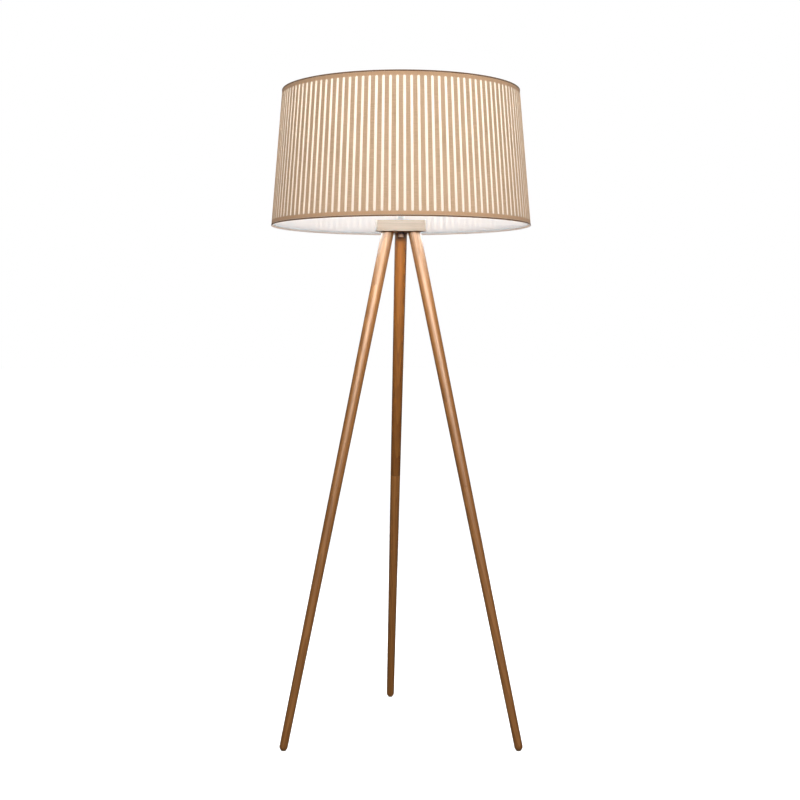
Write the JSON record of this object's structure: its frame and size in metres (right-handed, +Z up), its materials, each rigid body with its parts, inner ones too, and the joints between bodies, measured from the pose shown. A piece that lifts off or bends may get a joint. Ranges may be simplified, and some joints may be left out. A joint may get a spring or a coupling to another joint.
{
  "type": "tripod floor lamp",
  "caption": "Floor lamp with a slotted fabric drum shade over a white liner, a wooden hub plate and three tapered wooden legs that unscrew at mid length.",
  "frame": {"origin": "on the floor, under the middle of the shade and the stem", "axes": "+Z up; -Y is the front, where the flat face of the hub looks; +X to the right seen from the front"},
  "size_m": [0.6188, 0.6338, 1.545],
  "materials": {
    "shade_fabric": "matt woven fabric with upright slots",
    "shade_hem": "matt rolled fabric edge",
    "shade_liner": "translucent white sheet",
    "white_metal": "white powder coat",
    "hub_wood": "satin lacquered pale wood",
    "leg_wood": "satin lacquered wood, grain along the leg",
    "steel": "zinc plated",
    "brass": "plain",
    "white_plastic": "satin moulded",
    "ceramic": "glazed",
    "glide": "moulded pad",
    "bulb_glass": "opal, lit",
    "bulb_cap": "plated"
  },
  "bodies": {
    "frame": {"hub": "hub_wood", "upper_leg_left": "leg_wood", "leg_bolt_left": "steel", "leg_top_insert_left": "brass", "leg_seam_insert_left": "brass", "upper_leg_right": "leg_wood", "leg_bolt_right": "steel", "leg_top_insert_right": "brass", "leg_seam_insert_right": "brass", "upper_leg_rear": "leg_wood", "leg_bolt_rear": "steel", "leg_top_insert_rear": "brass", "leg_seam_insert_rear": "brass", "stem": "white_metal", "stem_flange": "white_metal", "stem_washer": "steel", "stem_lock_nut": "steel", "cable_gland": "white_plastic", "flange_screw_1": "steel", "flange_screw_2": "steel", "flange_screw_3": "steel", "holder_cap": "white_plastic", "holder_body": "white_plastic", "holder_insulator": "ceramic", "holder_screw_shell": "brass", "holder_contact": "brass"},
    "lower_leg_left": {"lower_leg_left": "leg_wood", "leg_stud_left": "steel", "foot_glide_left": "glide"},
    "lower_leg_right": {"lower_leg_right": "leg_wood", "leg_stud_right": "steel", "foot_glide_right": "glide"},
    "lower_leg_rear": {"lower_leg_rear": "leg_wood", "leg_stud_rear": "steel", "foot_glide_rear": "glide"},
    "shade": {"shade_sleeve": "shade_fabric", "shade_liner": "shade_liner", "shade_hem_bottom": "shade_hem", "shade_hem_top": "shade_hem", "shade_ring_bottom": "white_metal", "shade_ring_top": "white_metal", "fitter_ring": "white_metal", "fitter_arm_left": "white_metal", "fitter_arm_right": "white_metal", "fitter_arm_rear": "white_metal"},
    "retaining_ring": {"retaining_ring": "white_plastic"},
    "switch": {"switch_knob": "white_plastic", "switch_spindle": "steel"},
    "bulb": {"bulb_glass": "bulb_glass", "bulb_cap": "bulb_cap", "bulb_contact": "brass"}
  },
  "joints": [
    {"name": "lower_leg_left_turn", "type": "hinge", "parent": "frame", "child": "lower_leg_left", "pos_m": [-0.15274, -0.08819, 0.60905], "axis": [-0.196, -0.1132, -0.9741], "range_deg": [0, 5400]},
    {"name": "lower_leg_right_turn", "type": "hinge", "parent": "frame", "child": "lower_leg_right", "pos_m": [0.15274, -0.08819, 0.60905], "axis": [0.196, -0.1132, -0.9741], "range_deg": [0, 5400]},
    {"name": "lower_leg_rear_turn", "type": "hinge", "parent": "frame", "child": "lower_leg_rear", "pos_m": [-0.01414, 0.17566, 0.60905], "axis": [-0.0229, 0.2252, -0.9741], "range_deg": [0, 5400]},
    {"name": "shade_turn", "type": "hinge", "parent": "frame", "child": "shade", "pos_m": [0, 0, 1.3953], "axis": [0, 0, 1], "continuous": true},
    {"name": "retaining_ring_turn", "type": "hinge", "parent": "frame", "child": "retaining_ring", "pos_m": [0, 0, 1.3976], "axis": [0, 0, 1], "range_deg": [0, 900]},
    {"name": "bulb_turn", "type": "hinge", "parent": "frame", "child": "bulb", "pos_m": [0, 0, 1.385], "axis": [0, 0, 1], "range_deg": [0, 1260]},
    {"name": "switch_turn", "type": "hinge", "parent": "frame", "child": "switch", "pos_m": [0.0205, 0, 1.372], "axis": [1, 0, 0], "continuous": true}
  ]
}
